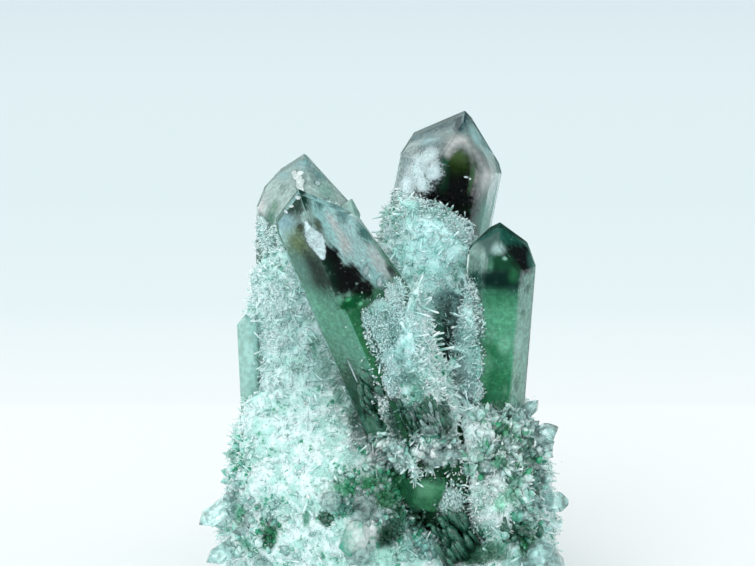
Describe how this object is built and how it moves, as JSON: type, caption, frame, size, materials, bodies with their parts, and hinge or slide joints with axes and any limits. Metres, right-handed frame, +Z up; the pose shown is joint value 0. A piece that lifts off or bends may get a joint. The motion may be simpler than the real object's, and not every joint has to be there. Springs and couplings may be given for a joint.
{
  "type": "green quartz cluster",
  "caption": "Cluster of large clear green quartz points with crusts of small pale crystals, grown out of a rough crystal base that is cut flat underneath.",
  "frame": {"origin": "centre of the cluster's outline at the level of its flat cut underside", "axes": "+Z up, +X to the right and -Y towards the picture's viewer"},
  "size_m": [0.0738, 0.062, 0.0988],
  "materials": {
    "clear_quartz": "clear green crystal with smooth flat faces, darker green inside",
    "druse": "crust of fine pale mint crystals, rough and sparkling"
  },
  "bodies": {
    "root": {"tall_point": "clear_quartz", "left_point": "clear_quartz", "leaning_point": "clear_quartz", "right_point": "clear_quartz", "base": "druse"}
  },
  "joints": []
}
